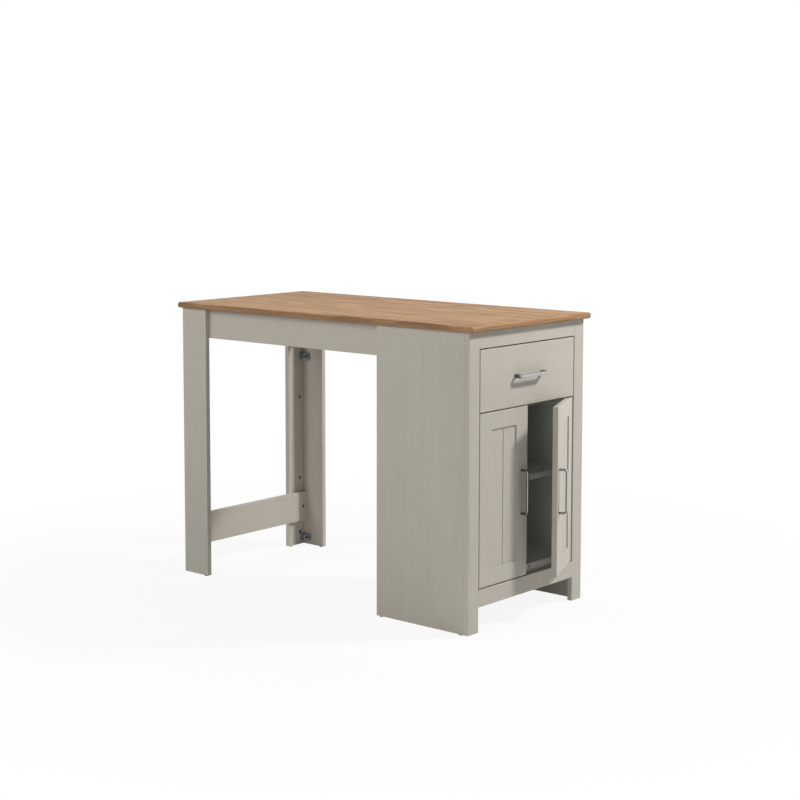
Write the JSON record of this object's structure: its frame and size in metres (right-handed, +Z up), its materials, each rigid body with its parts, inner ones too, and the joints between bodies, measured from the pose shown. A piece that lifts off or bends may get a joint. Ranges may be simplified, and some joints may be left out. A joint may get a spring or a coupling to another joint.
{
  "type": "kitchen table with storage cabinet",
  "caption": "Counter-height kitchen table on board legs at one end and a painted cabinet at the other, with a drawer over inset doors that open on the short end.",
  "frame": {"origin": "on the floor, in the middle of the part's box with the right door ajar as at rest", "axes": "+X along the table from the legs towards the doors, +Y across it from its front side to its rear side, +Z up"},
  "size_m": [1.283, 0.58, 0.88],
  "materials": {
    "oak_top": "light oak-effect top, satin",
    "grey_paint": "warm light grey paint over fine woodgrain, satin",
    "grey_interior": "the same grey on the inner boards, satin",
    "drawer_box_board": "pale grey drawer board, satin",
    "chrome_handle": "polished chrome",
    "zinc_fixings": "zinc-plated steel",
    "nickel_hinge": "nickel-plated steel",
    "zinc_runner": "galvanised sheet steel",
    "cam_zinc": "die-cast zinc alloy, dull",
    "slate_plastic": "slate-coloured moulded plastic",
    "glide_plastic": "dark moulded plastic",
    "bumper_clear": "soft clear plastic",
    "beech_dowel": "bare beech"
  },
  "bodies": {
    "carcass": {"cam_bolts": "zinc_fixings", "cam_locks": "cam_zinc", "dowels": "beech_dowel", "shelf_pins": "zinc_fixings", "foot_glides": "glide_plastic", "short_wood_screws": "zinc_fixings", "long_wood_screws": "zinc_fixings", "corner_blocks": "slate_plastic", "top_brackets": "zinc_fixings", "hinge_arms": "nickel_hinge", "hinge_plates": "nickel_hinge", "front_outer_runner": "zinc_runner", "rear_outer_runner": "zinc_runner", "tabletop": "oak_top", "front_leg_face_board": "grey_paint", "front_leg_end_board": "grey_paint", "front_apron": "grey_paint", "rear_leg_face_board": "grey_paint", "rear_leg_end_board": "grey_paint", "rear_apron": "grey_paint", "leg_stretcher": "grey_paint", "leg_end_rail": "grey_paint", "cabinet_front_side": "grey_paint", "front_stile": "grey_paint", "front_runner_packer": "grey_interior", "cabinet_rear_side": "grey_paint", "rear_stile": "grey_paint", "rear_runner_packer": "grey_interior", "cabinet_back": "grey_interior", "cabinet_bottom": "grey_interior", "floor_batten": "grey_interior", "divider_rail": "grey_interior", "door_end_tie_rail": "grey_interior", "knee_end_tie_rail": "grey_interior", "cabinet_shelf": "grey_interior", "frame_top_rail": "grey_paint", "frame_bottom_rail": "grey_paint", "door_bumpers": "bumper_clear"},
    "drawer": {"drawer_handle_screws": "zinc_fixings", "drawer_handle": "chrome_handle", "drawer_bottom": "drawer_box_board", "drawer_wood_screws": "zinc_fixings", "drawer_front_side": "drawer_box_board", "front_inner_runner": "zinc_runner", "drawer_rear_side": "drawer_box_board", "rear_inner_runner": "zinc_runner", "drawer_back": "drawer_box_board", "drawer_front": "grey_paint"},
    "left_door": {"left_door_leaf": "grey_paint", "left_door_handle": "chrome_handle", "left_hinge_cups": "nickel_hinge", "left_hinge_pins": "nickel_hinge", "left_hinge_screws": "zinc_fixings", "left_handle_screws": "zinc_fixings"},
    "right_door": {"right_door_leaf": "grey_paint", "right_door_handle": "chrome_handle", "right_hinge_cups": "nickel_hinge", "right_hinge_pins": "nickel_hinge", "right_hinge_screws": "zinc_fixings", "right_handle_screws": "zinc_fixings"}
  },
  "joints": [
    {"name": "drawer_slide", "type": "slide", "parent": "carcass", "child": "drawer", "axis": [1, 0, 0], "range_m": [0, 0.22]},
    {"name": "left_door_hinge", "type": "hinge", "parent": "carcass", "child": "left_door", "pos_m": [0.5315, -0.2195, 0.37825], "axis": [0, 0, -1], "range_deg": [0, 100]},
    {"name": "right_door_hinge", "type": "hinge", "parent": "carcass", "child": "right_door", "pos_m": [0.5315, 0.2195, 0.37825], "axis": [0, 0, 1], "range_deg": [-24.5, 75.5]}
  ]
}
